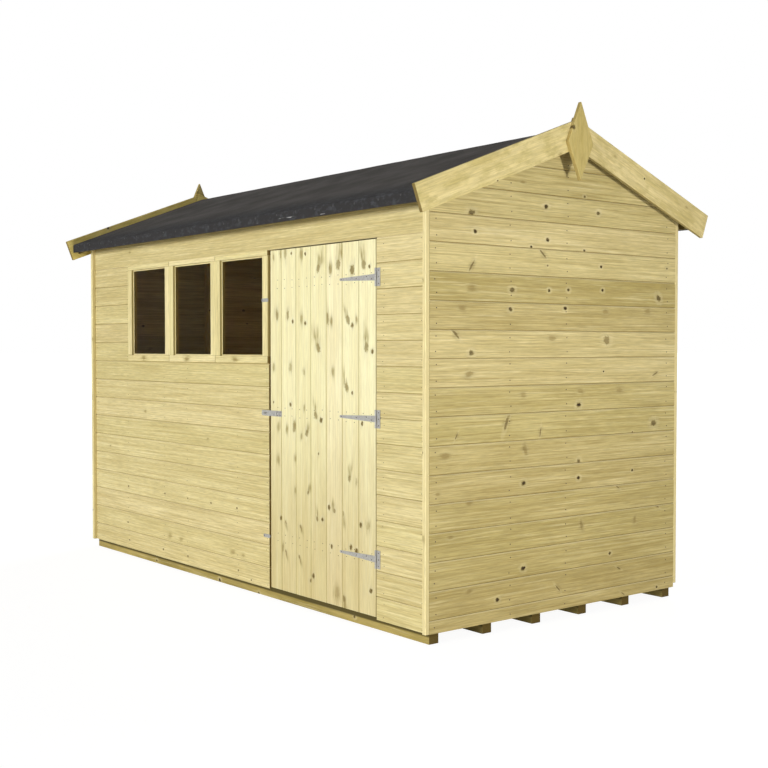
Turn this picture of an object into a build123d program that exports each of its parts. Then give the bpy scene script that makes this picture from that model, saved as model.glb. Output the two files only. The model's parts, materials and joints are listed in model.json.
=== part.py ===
"""Wooden garden shed, ten feet by five, with an apex roof, a row of fixed windows and one boarded door.

Millimetres. +X runs along the long front from the windows to the door, +Y from the front to the back,
+Z up. The origin is the centre of the footprint, on the undersides of the bearers.
"""

import os
from math import atan, cos, sin

from build123d import *

# ---- driving sizes ----
shed_length = 3050.0
shed_depth = 1525.0
cladding = 12.0
cladding_bottom = 45.0
stick_depth = 28.0
stick_width = 44.0

bearer_size = 50.0
bearer_pitch = 290.0
bearer_count = 6
bearer_set_back = 12.5
bearer_end_gap = 3.0
deck_thickness = 12.0
deck_set_back = 17.0

top_plate_bottom = 1770.0
mid_rail_bottom = 900.0
window_post_width = 44.0
left_post_behind_door = 7.0
left_post_behind_wall = 28.0
right_post_behind_door = 5.0
right_post_behind_wall = 46.0
corner_strip_size = 20.0
corner_strip_top_gap = 6.0
back_strip_lift = 18.0

roof_slope = 0.383
ridge_underside = 2101.0
roof_board = 12.0
roof_end = 1585.0
roof_eave = 861.0
felt = 4.0
felt_bottom = 1740.0
felt_past_batten = 3.0
felt_bend_radius = 3.5
felt_ramp = 20.0
felt_lap = 75.0
ridge_board_depth = 95.0
ridge_board_thickness = 28.0
purlin_from_ridge = 400.0
purlin_depth = 60.0

barge_width = 115.0
barge_thickness = 18.0
barge_rise = 32.0
barge_half_span = 905.0
barge_run_past = 20.0
finial_thickness = 19.0
finial_bottom = 1890.0
finial_shoulder = 2048.0
finial_tip = 2222.0
finial_half_width = 77.0

door_left = 387.0
door_right = 1184.0
door_bottom = 55.0
door_top = 1631.0
opening_left = 371.0
opening_right = 1189.0
opening_top = 1636.0
door_stop_set_back = 5.0
ledge_width = 95.0
ledge_depth = 21.0
ledge_inset = 34.0
ledge_heights = (298.0, 884.0, 1473.0)
brace_width = 70.0

window_count = 3
window_width = 480.0
window_bottom = 1107.0
window_proud = 8.0
window_stile = 45.0
window_bottom_rail = 33.0
window_top_rail = 24.0
window_bead = 7.0
window_bead_depth = 12.0
window_arris = 2.0
pane = 4.0
pane_gap = 1.0

hinge_metal = 2.0
hinge_knuckle_radius = 4.0
hinge_pin_radius = 2.4
hinge_bore_radius = 2.5
hinge_gap = 0.4
hinge_clear = 1.0
hinge_plate_height = 76.0
hinge_plate_width = 28.0
plate_screw_x = 18.0
plate_screw_pitch = 27.0
hinge_strap_length = 254.0
hinge_strap_wide = 28.0
hinge_strap_tip = 11.0
strap_screws = ((30.0, -6.0), (64.0, 5.0), (135.0, 0.0), (242.0, 0.0))
screw_hole_radius = 2.6

hasp_height = 26.0
hasp_plate_end = 479.0
hasp_axis_x = 432.0
hasp_leaf_end = 316.0
hasp_z = 874.0
hasp_knuckle_radius = 3.5
hasp_pin_radius = 1.6
hasp_bore_radius = 1.7
hasp_gap = 0.3
hasp_clear = 0.8
hasp_corner = 5.0
hasp_screws_x = (14.0, 27.0, 40.0)
hasp_screw_pitch = 8.0
hasp_slot_clear = (3.0, 2.0)
staple_x = 345.0
staple_wire = 4.4
staple_half_span = 6.5
staple_reach = 15.0
staple_base = (36.0, 22.0, 1.2)

button_length = 57.0
button_width = 16.0
button_end = 381.0
button_metal = 3.0
button_heights = (293.0, 1403.0)

overcut = 1.0

# ---- sizes that follow ----
half_length = shed_length / 2
half_depth = shed_depth / 2
wall_outer_y = half_depth
wall_inner_y = half_depth - cladding
frame_inner_y = wall_inner_y - stick_depth
wall_inner_x = half_length - cladding
frame_inner_x = wall_inner_x - stick_depth
deck_top = bearer_size + deck_thickness
sole_top = deck_top + stick_depth
half_stick = stick_width / 2
mid_rail_top = mid_rail_bottom + stick_width
slope_angle = atan(roof_slope)
slope_cos = cos(slope_angle)
slope_sin = sin(slope_angle)
board_rise = roof_board / slope_cos
felt_rise = felt / slope_cos
front_face = -wall_outer_y
window_left = opening_left - window_count * window_width
sill_low = window_bottom - half_stick
sill_high = window_bottom + half_stick
window_post = (window_left - window_post_width / 2, window_left + window_post_width / 2)
left_post = (opening_left - left_post_behind_wall, door_left + left_post_behind_door)
right_post = (door_right - right_post_behind_door, door_right + right_post_behind_wall)
hinge_x = (door_right + opening_right) / 2
hinge_y = front_face - hinge_knuckle_radius
hasp_y = front_face - hasp_knuckle_radius

os.makedirs("parts", exist_ok=True)


def underside(y, rise=0.0):
    """Height of the roof's underside, or of a plane that lies above it by a rise, at a distance y."""
    return ridge_underside + rise - roof_slope * abs(y)


def block(x0, x1, y0, y1, z0, z1):
    """Square-cut timber between two corners."""
    centre = ((x0 + x1) / 2, (y0 + y1) / 2, (z0 + z1) / 2)
    return Pos(*centre) * Box(x1 - x0, y1 - y0, z1 - z0)


def along_x(outline, x0, x1):
    """A length of timber whose section is an outline of (y, z) points."""
    section = make_face(Polyline(*[(x0, y, z) for y, z in outline], close=True))
    return extrude(section, amount=x1 - x0, dir=(1, 0, 0))


def along_y(outline, y0, y1):
    """A plate or board whose face is an outline of (x, z) points."""
    face = make_face(Polyline(*[(x, y0, z) for x, z in outline], close=True))
    return extrude(face, amount=y1 - y0, dir=(0, 1, 0))


def at_back(outline):
    """The same outline on the other slope."""
    return [(-y, z) for y, z in outline]


def save(name, *solids):
    """Write one node, which may hold several solids that stand apart."""
    parts = [part for solid in solids for part in solid.solids()]
    shape = parts[0] if len(parts) == 1 else Compound(children=parts)
    shape.label = name
    export_step(shape, f"parts/{name}.step")


# ---- base ----
def bearers():
    first = -half_depth + bearer_set_back
    reach = wall_inner_x - bearer_end_gap
    starts = [first + bearer_pitch * i for i in range(bearer_count)]
    return [block(-reach, reach, y, y + bearer_size, 0, bearer_size) for y in starts]


def floor_deck():
    reach_y = half_depth - deck_set_back
    return block(-wall_inner_x, wall_inner_x, -reach_y, reach_y, bearer_size, deck_top)


# ---- wall cladding ----
def eave_outline(bottom):
    """Section of a long wall's skin, its top bevelled to the roof, on the back wall."""
    top_inner = underside(wall_inner_y)
    top_outer = underside(wall_outer_y)
    feet = [(wall_inner_y, bottom), (wall_outer_y, bottom)]
    return feet + [(wall_outer_y, top_outer), (wall_inner_y, top_inner)]


def gable_outline():
    """Pentagon of a gable's skin."""
    top = underside(half_depth)
    return [
        (-half_depth, cladding_bottom),
        (half_depth, cladding_bottom),
        (half_depth, top),
        (0, ridge_underside),
        (-half_depth, top),
    ]


def save_cladding():
    front = (-wall_outer_y, -wall_inner_y)
    below = block(-wall_inner_x, opening_left, *front, cladding_bottom, window_bottom)
    beside = block(-wall_inner_x, window_left, *front, window_bottom, opening_top)
    right = block(opening_right, wall_inner_x, *front, cladding_bottom, opening_top)
    save("front_wall_below_windows", below)
    save("front_wall_beside_windows", beside)
    save("front_wall_beside_door", right)
    save("front_wall_top_board", along_x(at_back(eave_outline(opening_top)), -wall_inner_x, wall_inner_x))
    save("back_wall", along_x(eave_outline(cladding_bottom), -wall_inner_x, wall_inner_x))
    save("left_gable", along_x(gable_outline(), -half_length, -wall_inner_x))
    save("right_gable", along_x(gable_outline(), wall_inner_x, half_length))


# ---- wall framing ----
def front_stud(x0, x1, z0, z1):
    return block(x0, x1, -wall_inner_y, -frame_inner_y, z0, z1)


def rebated_post(x0, x1, stop_x, z0, z1):
    """A door post whose face steps back past stop_x, where the door leaf shuts against it."""
    stepped = -wall_inner_y + door_stop_set_back
    low, high = (stop_x, x1) if stop_x > (x0 + x1) / 2 else (x0, stop_x)
    step = block(low, high, -wall_inner_y - overcut, stepped, z0 - overcut, z1 + overcut)
    return front_stud(x0, x1, z0, z1) - step


def top_plate_outline():
    """Section of the back wall's top plate, bevelled to carry the roof boards."""
    return [
        (frame_inner_y, top_plate_bottom),
        (wall_inner_y, top_plate_bottom),
        (wall_inner_y, underside(wall_inner_y)),
        (frame_inner_y, underside(frame_inner_y)),
    ]


def save_front_frame():
    """Studs stand on the sole rail, and the middle ones stop at the window sill and the window head."""
    studs = [
        front_stud(-wall_inner_x, -wall_inner_x + stick_width, sole_top, top_plate_bottom),
        front_stud(*window_post, sole_top, top_plate_bottom),
        front_stud(wall_inner_x - stick_width, wall_inner_x, sole_top, top_plate_bottom),
        rebated_post(*left_post, opening_left, sole_top, top_plate_bottom),
        rebated_post(*right_post, opening_right, sole_top, top_plate_bottom),
    ]
    for number in range(1, window_count):
        x = window_left + window_width * number
        studs.append(front_stud(x - half_stick, x + half_stick, sole_top, sill_low))
        studs.append(front_stud(x - half_stick, x + half_stick, sill_high, opening_top - half_stick))
    save("front_wall_studs", *studs)
    rails = [
        front_stud(-wall_inner_x, left_post[1], deck_top, sole_top),
        front_stud(right_post[0], wall_inner_x, deck_top, sole_top),
        front_stud(window_post[1], left_post[0], sill_low, sill_high),
        front_stud(window_post[1], left_post[0], opening_top - half_stick, opening_top + half_stick),
        front_stud(left_post[1], right_post[0], opening_top, opening_top + stick_width),
        along_x(at_back(top_plate_outline()), -wall_inner_x, wall_inner_x),
    ]
    save("front_wall_rails", *rails)


def back_stick(x0, x1, z0, z1):
    return block(x0, x1, frame_inner_y, wall_inner_y, z0, z1)


def save_back_frame():
    """The middle studs are cut round the middle rail."""
    inner = wall_inner_x - stick_width
    studs = [
        back_stick(-wall_inner_x, -inner, sole_top, top_plate_bottom),
        back_stick(inner, wall_inner_x, sole_top, top_plate_bottom),
    ]
    for x in (-shed_length / 4, 0, shed_length / 4):
        studs.append(back_stick(x - half_stick, x + half_stick, sole_top, mid_rail_bottom))
        studs.append(back_stick(x - half_stick, x + half_stick, mid_rail_top, top_plate_bottom))
    save("back_wall_studs", *studs)
    rails = [
        back_stick(-wall_inner_x, wall_inner_x, deck_top, sole_top),
        back_stick(-inner, inner, mid_rail_bottom, mid_rail_top),
        along_x(top_plate_outline(), -wall_inner_x, wall_inner_x),
    ]
    save("back_wall_rails", *rails)


def gable_sticks(x0, x1):
    """Studs, rails and rafters of one gable's frame, between the long walls' frames."""
    end = frame_inner_y
    inner = end - stick_width
    drop = stick_width / slope_cos
    tie_high = underside(end) - drop
    tie_low = tie_high - stick_depth
    studs = [
        block(x0, x1, -end, -inner, sole_top, tie_low),
        block(x0, x1, inner, end, sole_top, tie_low),
        block(x0, x1, -half_stick, half_stick, sole_top, tie_low),
        along_x(peaked_outline(half_stick, tie_high), x0, x1),
    ]
    rails = [
        block(x0, x1, -end, end, deck_top, sole_top),
        block(x0, x1, -inner, -half_stick, mid_rail_bottom, mid_rail_top),
        block(x0, x1, half_stick, inner, mid_rail_bottom, mid_rail_top),
        block(x0, x1, -end, end, tie_low, tie_high),
    ]
    rafter = slope_strip(half_stick, end, -drop, 0)
    rafters = [along_x(rafter, x0, x1), along_x(at_back(rafter), x0, x1)]
    return studs, rails, rafters


def save_gable_frames():
    left = gable_sticks(-wall_inner_x, -frame_inner_x)
    right = gable_sticks(frame_inner_x, wall_inner_x)
    for name, left_sticks, right_sticks in zip(("studs", "rails", "rafters"), left, right):
        save(f"gable_{name}", *left_sticks, *right_sticks)


def save_corner_strips():
    """Square cover strips over the ends of the long walls' boards."""
    near, far = wall_outer_y, wall_outer_y + corner_strip_size
    top = underside(far) - corner_strip_top_gap
    back_bottom = cladding_bottom + back_strip_lift
    for side, x0 in (("left", -half_length), ("right", half_length - corner_strip_size)):
        x1 = x0 + corner_strip_size
        save(f"corner_strip_front_{side}", block(x0, x1, -far, -near, cladding_bottom, top))
        save(f"corner_strip_back_{side}", block(x0, x1, near, far, back_bottom, top))


# ---- windows ----
def window_frame(x0):
    """A fixed light's frame: a face opening, a bead round it, and a rebate behind for the pane."""
    y_front = front_face - window_proud
    y_back = -wall_inner_y
    x1 = x0 + window_width
    z0, z1 = window_bottom, opening_top
    left, right = x0 + window_stile, x1 - window_stile
    low, high = z0 + window_bottom_rail, z1 - window_top_rail
    blank = block(x0, x1, y_front, y_back, z0, z1)
    face_opening = block(left, right, y_front - overcut, y_front + window_bead_depth, low, high)
    bead = window_bead
    sight = block(left + bead, right - bead, y_front - overcut, y_back + overcut, low + bead, high - bead)
    rebate = block(left, right, y_back - pane, y_back + overcut, low, high)
    frame = blank - face_opening - sight - rebate
    rim = frame.edges().filter_by(Axis.Y, reverse=True).group_by(Axis.Y)[0]
    outer_rim = [edge for edge in rim if edge.length > window_width - overcut]
    softened = chamfer(outer_rim, window_arris)
    glass_x = (left + pane_gap, right - pane_gap)
    glass_z = (low + pane_gap, high - pane_gap)
    glass = block(*glass_x, y_back - pane, y_back, *glass_z)
    return softened, glass


def save_windows():
    panes = []
    for number in range(window_count):
        frame, glass = window_frame(window_left + window_width * number)
        save(f"window_frame_{number + 1}", frame)
        panes.append(glass)
    save("window_panes", *panes)


# ---- roof ----
def slope_strip(y0, y1, rise0, rise1):
    """Outline on the back slope between two distances from the ridge and two planes, with plumb ends."""
    lower = [(y0, underside(y0, rise0)), (y1, underside(y1, rise0))]
    upper = [(y1, underside(y1, rise1)), (y0, underside(y0, rise1))]
    return lower + upper


def peaked_outline(half, bottom):
    """Section of a stick under the ridge, its top cut to both slopes."""
    shoulder = underside(half)
    return [(-half, bottom), (half, bottom), (half, shoulder), (0, ridge_underside), (-half, shoulder)]


def save_roof_boards():
    outline = slope_strip(0, roof_eave, 0, board_rise)
    save("roof_boards_back", along_x(outline, -roof_end, roof_end))
    save("roof_boards_front", along_x(at_back(outline), -roof_end, roof_end))


def save_roof_battens():
    """Eave battens under the boards' lower edges, and verge battens behind the barge boards."""
    inner = roof_eave - stick_depth
    low = felt_bottom + felt_past_batten
    eave = [(inner, low), (roof_eave, low), (roof_eave, underside(roof_eave)), (inner, underside(inner))]
    save("eave_battens", along_x(eave, -roof_end, roof_end), along_x(at_back(eave), -roof_end, roof_end))
    drop = -stick_width / slope_cos
    verge = slope_strip(0, inner, drop, 0)
    ends = ((-roof_end, -roof_end + stick_depth), (roof_end - stick_depth, roof_end))
    save("verge_battens_back", *[along_x(verge, *end) for end in ends])
    save("verge_battens_front", *[along_x(at_back(verge), *end) for end in ends])


def save_purlins():
    """Ridge board and one purlin on each slope, between the gables' frames."""
    ridge = peaked_outline(ridge_board_thickness / 2, ridge_underside - ridge_board_depth)
    near, far = purlin_from_ridge - stick_depth / 2, purlin_from_ridge + stick_depth / 2
    purlin = slope_strip(near, far, -purlin_depth, 0)
    outlines = (ridge, purlin, at_back(purlin))
    save("purlins", *[along_x(outline, -frame_inner_x, frame_inner_x) for outline in outlines])


def felt_outline(fold):
    """Section of a felt sheet on the back slope, turned down over the eave, from a fold at the ridge."""
    low, high = board_rise, board_rise + felt_rise
    edge = roof_eave + felt
    return [
        (0, underside(0, low)),
        (roof_eave, underside(roof_eave, low)),
        (roof_eave, felt_bottom),
        (edge, felt_bottom),
        (edge, underside(edge, high)),
    ] + fold


def save_felt():
    """The front sheet laps over the ridge and down on to the back sheet."""
    high = board_rise + felt_rise
    top = high + felt_rise
    ridge_fold = [(0, underside(0, high))]
    lap_fold = [
        (felt_ramp, underside(felt_ramp, high)),
        (0, underside(0, top)),
        (-felt_lap, underside(felt_lap, top)),
        (-felt_lap, underside(felt_lap, high)),
        (0, underside(0, high)),
    ]
    sheets = {"felt_back": felt_outline(ridge_fold), "felt_front": at_back(felt_outline(lap_fold))}
    for name, outline in sheets.items():
        sheet = along_x(outline, -roof_end, roof_end)
        outer = roof_eave + felt
        long_edges = sheet.edges().filter_by(Axis.X)
        at_eave = [edge for edge in long_edges if abs(edge.center().Y) > outer - overcut]
        bend = max(at_eave, key=lambda edge: edge.center().Z)
        save(name, fillet(bend, felt_bend_radius))


def barge_outline():
    """Face of a square-ended barge board on the back slope, which runs past the apex."""
    top = board_rise + felt_rise + barge_rise
    start_y = -barge_run_past * slope_cos
    start_z = ridge_underside + top + barge_run_past * slope_sin
    end_y = barge_half_span
    end_z = ridge_underside + top - roof_slope * barge_half_span
    drop_y, drop_z = -barge_width * slope_sin, -barge_width * slope_cos
    return [
        (start_y, start_z),
        (end_y, end_z),
        (end_y + drop_y, end_z + drop_z),
        (start_y + drop_y, start_z + drop_z),
    ]


def save_barge_boards():
    """The back board runs square past the apex, and the front one is cut to butt against it."""
    for side, x0 in (("left", -roof_end - barge_thickness), ("right", roof_end)):
        x1 = x0 + barge_thickness
        back = along_x(barge_outline(), x0, x1)
        front = along_x(at_back(barge_outline()), x0, x1) - back
        save(f"barge_board_{side}_back", back)
        save(f"barge_board_{side}_front", front.solids().sort_by(SortBy.VOLUME)[-1])


def save_finials():
    """Kite-shaped boards over the apex of each pair of barge boards."""
    outline = [
        (0, finial_bottom),
        (finial_half_width, finial_shoulder),
        (0, finial_tip),
        (-finial_half_width, finial_shoulder),
    ]
    outer = roof_end + barge_thickness
    save("finial_left", along_x(outline, -outer - finial_thickness, -outer))
    save("finial_right", along_x(outline, outer, outer + finial_thickness))


# ---- door ----
def save_door():
    leaf_back = -wall_inner_y
    save("door_leaf", block(door_left, door_right, front_face, leaf_back, door_bottom, door_top))
    x0, x1 = door_left + ledge_inset, door_right - ledge_inset
    half = ledge_width / 2
    depth = (leaf_back, leaf_back + ledge_depth)
    ledges = [block(x0, x1, *depth, z - half, z + half) for z in ledge_heights]
    save("door_ledges", *ledges)
    braces = []
    for low, high in zip(ledge_heights, ledge_heights[1:]):
        foot = [(x1 - brace_width, low + half), (x1, low + half)]
        head = [(x0 + brace_width, high - half), (x0, high - half)]
        braces.append(along_y(foot + head, *depth))
    save("door_braces", *braces)


# ---- T hinges ----
def barrel(x, y, z0, z1, radius):
    """An upright knuckle, pin or bore."""
    return Pos(x, y, (z0 + z1) / 2) * Cylinder(radius, z1 - z0)


def screw_hole(x, z):
    """A hole through metal that lies on the front face."""
    centre = Pos(x, front_face - hinge_metal / 2, z)
    return centre * Rot(90, 0, 0) * Cylinder(screw_hole_radius, hinge_metal * 3)


def on_face(x0, x1, z0, z1, spare=0.0):
    """A piece of plate on the front face, or with some spare a cutter that goes right through one."""
    return block(x0, x1, front_face - hinge_metal - spare, front_face + spare, z0, z1)


def hinge_plate(z):
    """The plate on the wall: a tall leaf, its two knuckles and the pin through all three."""
    half = hinge_plate_height / 2
    notch = hinge_strap_wide / 2 + hinge_gap
    plate = on_face(hinge_x, hinge_x + hinge_plate_width, z - half, z + half)
    clear = hinge_knuckle_radius + hinge_clear
    plate -= on_face(hinge_x - overcut, hinge_x + clear, z - notch, z + notch, overcut)
    for z0, z1 in ((z - half, z - notch), (z + notch, z + half)):
        plate += barrel(hinge_x, hinge_y, z0, z1, hinge_knuckle_radius)
    plate += barrel(hinge_x, hinge_y, z - half, z + half, hinge_pin_radius)
    for offset in (-plate_screw_pitch, 0.0, plate_screw_pitch):
        plate -= screw_hole(hinge_x + plate_screw_x, z + offset)
    return plate


def hinge_strap(z):
    """The long tapered strap on the door, round at its tip, with the middle knuckle."""
    wide, tip = hinge_strap_wide / 2, hinge_strap_tip / 2
    end_x = hinge_x - hinge_strap_length + tip
    root = [(hinge_x, front_face, z + wide), (hinge_x, front_face, z - wide)]
    upper, lower = (end_x, front_face, z + tip), (end_x, front_face, z - tip)
    sides = Polyline(upper, *root, lower)
    nose = ThreePointArc(lower, (end_x - tip, front_face, z), upper)
    strap = extrude(make_face(Curve() + [sides, nose]), amount=hinge_metal, dir=(0, -1, 0))
    strap += barrel(hinge_x, hinge_y, z - wide, z + wide, hinge_knuckle_radius)
    strap -= barrel(hinge_x, hinge_y, z - wide - overcut, z + wide + overcut, hinge_bore_radius)
    for along, offset in strap_screws:
        strap -= screw_hole(hinge_x - along, z + offset)
    return strap


def save_hinges():
    for number, z in enumerate(ledge_heights, start=1):
        save(f"hinge_plate_{number}", hinge_plate(z))
        save(f"hinge_strap_{number}", hinge_strap(z))


# ---- hasp, staple and turn buttons ----
def hasp_plate():
    """The fixed half of the hasp on the door: a square plate, its outer knuckles and the pin."""
    half, third = hasp_height / 2, hasp_height / 6
    low, high = hasp_z - half, hasp_z + half
    notch_low, notch_high = hasp_z - third - hasp_gap, hasp_z + third + hasp_gap
    plate = on_face(hasp_axis_x, hasp_plate_end, low, high)
    clear = hasp_knuckle_radius + hasp_clear
    plate -= on_face(hasp_axis_x - overcut, hasp_axis_x + clear, notch_low, notch_high, overcut)
    for z0, z1 in ((low, notch_low), (notch_high, high)):
        plate += barrel(hasp_axis_x, hasp_y, z0, z1, hasp_knuckle_radius)
    plate += barrel(hasp_axis_x, hasp_y, low, high, hasp_pin_radius)
    for along in hasp_screws_x:
        for offset in (-hasp_screw_pitch, hasp_screw_pitch):
            plate -= screw_hole(hasp_axis_x + along, hasp_z + offset)
    return plate


def hasp_leaf():
    """The swinging half: a leaf with rounded corners, the middle knuckle and a slot over the staple."""
    half, third = hasp_height / 2, hasp_height / 6
    thick = (hasp_y - hinge_metal / 2, hasp_y + hinge_metal / 2)
    root = hasp_axis_x - hasp_knuckle_radius - hasp_clear
    leaf = block(hasp_leaf_end, root, *thick, hasp_z - half, hasp_z + half)
    leaf = fillet(leaf.edges().filter_by(Axis.Y).group_by(Axis.X)[0], hasp_corner)
    leaf += block(root - overcut, hasp_axis_x, *thick, hasp_z - third, hasp_z + third)
    leaf += barrel(hasp_axis_x, hasp_y, hasp_z - third, hasp_z + third, hasp_knuckle_radius)
    leaf -= barrel(hasp_axis_x, hasp_y, hasp_z - third - overcut, hasp_z + third + overcut, hasp_bore_radius)
    slot_height = staple_wire + 2 * hasp_slot_clear[1]
    slot_length = 2 * staple_half_span + staple_wire + 2 * hasp_slot_clear[0]
    slot = Pos(staple_x, hasp_y, hasp_z) * Rot(90, 0, 0) * SlotOverall(slot_length, slot_height)
    return leaf - extrude(slot, amount=hinge_metal, both=True)


def staple():
    """A bent eye on a small base plate, which stands out through the hasp's slot."""
    base_width, base_height, base_metal = staple_base
    half_base, half_height = base_width / 2, base_height / 2
    base_z = (hasp_z - half_height, hasp_z + half_height)
    base = block(staple_x - half_base, staple_x + half_base, front_face - base_metal, front_face, *base_z)
    wire = staple_wire / 2
    eye_z = (hasp_z - wire, hasp_z + wire)
    bend_y = front_face - staple_reach
    outer, inner = staple_half_span + wire, staple_half_span - wire
    eye = block(staple_x - outer, staple_x + outer, bend_y, front_face, *eye_z)
    eye += barrel(staple_x, bend_y, *eye_z, outer)
    eye -= block(staple_x - inner, staple_x + inner, bend_y, front_face - base_metal, *eye_z)
    eye -= barrel(staple_x, bend_y, *eye_z, inner)
    return base + eye


def turn_button(z, face_y):
    """A small round-ended metal strip, fixed beside the door gap."""
    middle = button_end - button_length / 2
    face = Pos(middle, face_y, z) * Rot(90, 0, 0) * SlotOverall(button_length, button_width)
    return extrude(face, amount=button_metal, dir=(0, -1, 0))


def save_fastenings():
    save("hasp_plate", hasp_plate())
    save("hasp_leaf", hasp_leaf())
    save("staple", staple())
    faces = (front_face, front_face - window_proud)
    save("turn_buttons", *[turn_button(z, face_y) for z, face_y in zip(button_heights, faces)])


# ---- write every node ----
save("bearers", *bearers())
save("floor_deck", floor_deck())
save_cladding()
save_front_frame()
save_back_frame()
save_gable_frames()
save_corner_strips()
save_windows()
save_roof_boards()
save_roof_battens()
save_purlins()
save_felt()
save_barge_boards()
save_finials()
save_door()
save_hinges()
save_fastenings()
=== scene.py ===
import json
import math
import random

import bmesh
import bpy
import numpy as np
from mathutils import Matrix, Vector


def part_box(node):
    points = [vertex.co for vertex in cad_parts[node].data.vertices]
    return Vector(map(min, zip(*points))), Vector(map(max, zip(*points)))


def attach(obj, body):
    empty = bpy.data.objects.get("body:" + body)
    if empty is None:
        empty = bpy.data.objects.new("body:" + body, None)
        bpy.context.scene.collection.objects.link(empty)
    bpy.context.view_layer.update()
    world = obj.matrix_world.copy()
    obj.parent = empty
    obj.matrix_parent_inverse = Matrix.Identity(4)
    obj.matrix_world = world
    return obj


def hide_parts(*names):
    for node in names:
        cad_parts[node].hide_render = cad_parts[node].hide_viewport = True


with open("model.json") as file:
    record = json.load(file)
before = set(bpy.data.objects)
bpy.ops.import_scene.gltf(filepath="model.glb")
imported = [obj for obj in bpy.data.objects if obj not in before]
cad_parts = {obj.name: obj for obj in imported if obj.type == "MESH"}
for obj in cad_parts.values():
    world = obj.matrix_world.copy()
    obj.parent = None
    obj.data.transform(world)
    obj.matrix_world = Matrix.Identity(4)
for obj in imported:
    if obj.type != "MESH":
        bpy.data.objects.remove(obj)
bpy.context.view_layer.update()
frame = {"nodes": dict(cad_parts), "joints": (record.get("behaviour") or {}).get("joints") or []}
chance = random.Random(1947)


def takeUp(obj=None):
    if bpy.context.object and bpy.context.object.mode != "OBJECT":
        bpy.ops.object.mode_set(mode="OBJECT")
    bpy.ops.object.select_all(action="DESELECT")
    if obj:
        obj.select_set(True)
        bpy.context.view_layer.objects.active = obj


def openUp(obj, kind="FACE"):
    takeUp(obj)
    bpy.ops.object.mode_set(mode="EDIT")
    bpy.ops.mesh.select_mode(type=kind)
    bpy.ops.mesh.select_all(action="DESELECT")


def closeUp():
    bpy.ops.object.mode_set(mode="OBJECT")


def pick(obj, kind, test):  # kind is faces or edges; the test sees the middle and the direction
    mesh = bmesh.from_edit_mesh(obj.data)
    mesh.normal_update()
    for item in getattr(mesh, kind):
        ends = [v.co for v in item.verts]
        middle = sum(ends, Vector()) / len(ends)
        direction = item.normal if kind == "faces" else (ends[1] - ends[0]).normalized()
        item.select_set(test(middle, direction))
    mesh.select_flush_mode()
    bmesh.update_edit_mesh(obj.data)


def cutAcross(point, normal, outerGoes=False):  # the normal's side may go, and the cut is closed
    bpy.ops.mesh.select_all(action="SELECT")
    bpy.ops.mesh.bisect(plane_co=point, plane_no=normal, use_fill=outerGoes, clear_outer=outerGoes)


def pullOut(x, y, z):  # what is picked grows on by that much
    bpy.ops.mesh.extrude_region_move(TRANSFORM_OT_translate={"value": (x, y, z)})


def faceOutwards():
    bpy.ops.mesh.select_all(action="SELECT")
    bpy.ops.mesh.normals_make_consistent(inside=False)


def settle():
    bpy.ops.object.transform_apply(location=True, rotation=True, scale=True)


def block(name, low, high):
    takeUp()
    low, high = Vector(low), Vector(high)
    bpy.ops.mesh.primitive_cube_add(size=1, location=(low + high) / 2)
    obj = bpy.context.object
    obj.name = name
    obj.scale = high - low
    settle()
    return obj


def another(obj):
    twin = obj.copy()
    twin.data = obj.data.copy()
    bpy.context.collection.objects.link(twin)
    return twin


def modify(obj, kind, **settings):
    modifier = obj.modifiers.new(kind.lower(), kind)
    for name, value in settings.items():
        setattr(modifier, name, value)
    bpy.ops.object.modifier_apply(modifier=modifier.name)


def softenArris(obj, width):
    takeUp(obj)
    modify(obj, "BEVEL", width=width, segments=2, limit_method="ANGLE", angle_limit=math.radians(25))


def coat(obj, finish):
    obj.data.materials.clear()
    obj.data.materials.append(finish)


def fitTo(parts, name, body, node, finish):  # the parts become one piece, which may stand for a node
    takeUp(parts[0])
    for part in parts:
        part.select_set(True)
    if len(parts) > 1:
        bpy.ops.object.join()
    piece = bpy.context.object
    piece.name = name
    piece.data.name = name
    coat(piece, finish)
    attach(piece, body)
    if node:
        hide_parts(node)


bench = {}  # the node tree that is being built


def newNode(kind, values=(), **settings):  # numbers are set, and sockets are linked
    node = bench["tree"].nodes.new("ShaderNode" + kind)
    for name, value in settings.items():
        setattr(node, name, value)
    feed(node, values)
    return node


def feed(node, values):
    for label, value in dict(values).items():
        if isinstance(value, bpy.types.NodeSocket):
            bench["tree"].links.new(value, node.inputs[label])
        else:
            node.inputs[label].default_value = value


def calc(operation, *values):
    return newNode("Math", enumerate(values), operation=operation).outputs[0]


def times(product, *values):
    for value in values:
        product = calc("MULTIPLY", product, value)
    return product


def remap(value, low, high, toLow=0.0, toHigh=1.0):
    ends = {"From Min": low, "From Max": high, "To Min": toLow, "To Max": toHigh}
    return newNode("MapRange", {"Value": value, **ends}, interpolation_type="SMOOTHSTEP").outputs[0]


def splitVector(vector):
    return newNode("SeparateXYZ", {0: vector}).outputs


def noise(vector, scale, detail=2.0, roughness=0.5):  # three scales stretch the pattern
    if isinstance(scale, tuple):
        vector, scale = newNode("VectorMath", {0: vector, 1: scale}, operation="MULTIPLY").outputs[0], 1.0
    values = {"Vector": vector, "Scale": scale, "Detail": detail, "Roughness": roughness}
    return newNode("TexNoise", values).outputs["Fac"]


def cells(vector, scale):  # a chance number for each small cell
    return splitVector(newNode("TexVoronoi", {"Vector": vector, "Scale": scale}).outputs["Color"])[0]


def mixed(factor, a, b, blend="MIX"):
    a, b = (c if isinstance(c, bpy.types.NodeSocket) else (*c, 1.0) for c in (a, b))
    return newNode("Mix", {0: factor, 6: a, 7: b}, data_type="RGBA", blend_type=blend).outputs[2]


def attribute(name):
    return newNode("Attribute", attribute_name=name).outputs["Vector"]


def objectPlace():
    return newNode("TexCoord").outputs["Object"]


def bumped(height, distance):
    return newNode("Bump", {"Distance": distance, "Height": height}).outputs["Normal"]


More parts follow.
